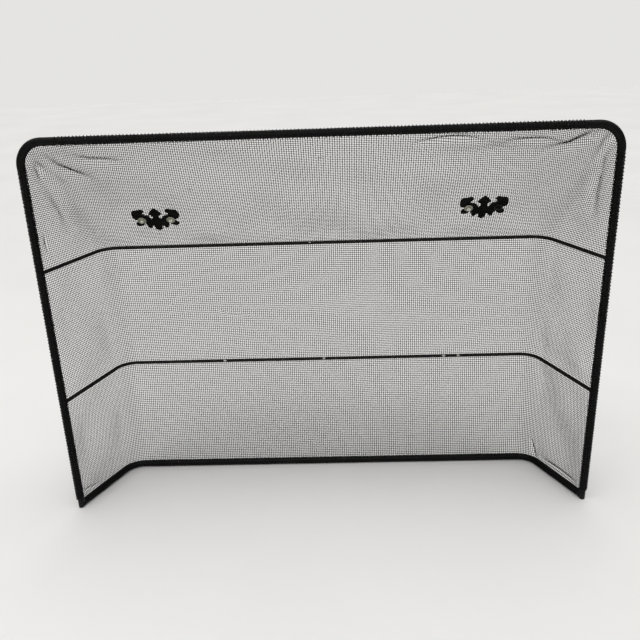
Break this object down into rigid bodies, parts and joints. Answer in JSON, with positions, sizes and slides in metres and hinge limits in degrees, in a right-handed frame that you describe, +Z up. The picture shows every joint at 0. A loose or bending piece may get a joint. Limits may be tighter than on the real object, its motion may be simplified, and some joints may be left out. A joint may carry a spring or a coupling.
{
  "type": "fireplace spark guard",
  "caption": "Free-standing fireplace spark guard: inverted-U rod hoop, bent cross rods and black woven wire cloth bowed out over the hearth, with hinged bail handles on bat-wing plates.",
  "frame": {"origin": "on the floor, at the middle of the overall box in plan", "axes": "+Z up, +Y from the open side that faces the fire to the bowed front that faces the room, +X along the top rail"},
  "size_m": [1.1776, 0.224, 0.8457],
  "materials": {
    "frame_black": "satin black paint on steel rod, chipped in places",
    "cloth_black": "satin black paint on 1.04 mm woven wire cloth",
    "handle_black": "hammered satin black paint",
    "washer_steel": "dull zinc plate"
  },
  "bodies": {
    "frame": {"frame_hoop": "frame_black", "upper_rod": "frame_black", "middle_rod": "frame_black", "bottom_rod": "frame_black", "weld_beads": "frame_black", "edge_roll": "cloth_black", "bottom_hem": "cloth_black", "mesh_front": "cloth_black", "mesh_hood": "cloth_black", "mesh_left_side": "cloth_black", "mesh_right_side": "cloth_black", "left_back_plate": "handle_black", "right_back_plate": "handle_black", "handle_posts": "handle_black", "handle_washers": "washer_steel", "handle_nuts": "washer_steel"},
    "left_bail_body": {"left_bail": "handle_black"},
    "right_bail_body": {"right_bail": "handle_black"}
  },
  "joints": [
    {"name": "left_bail_swing", "type": "hinge", "parent": "frame", "child": "left_bail_body", "pos_m": [-0.3625, 0.04744, 0.65155], "axis": [1, 0, 0], "range_deg": [0, 215]},
    {"name": "right_bail_swing", "type": "hinge", "parent": "frame", "child": "right_bail_body", "pos_m": [0.35, 0.04167, 0.65973], "axis": [1, 0, 0], "range_deg": [0, 215]}
  ]
}
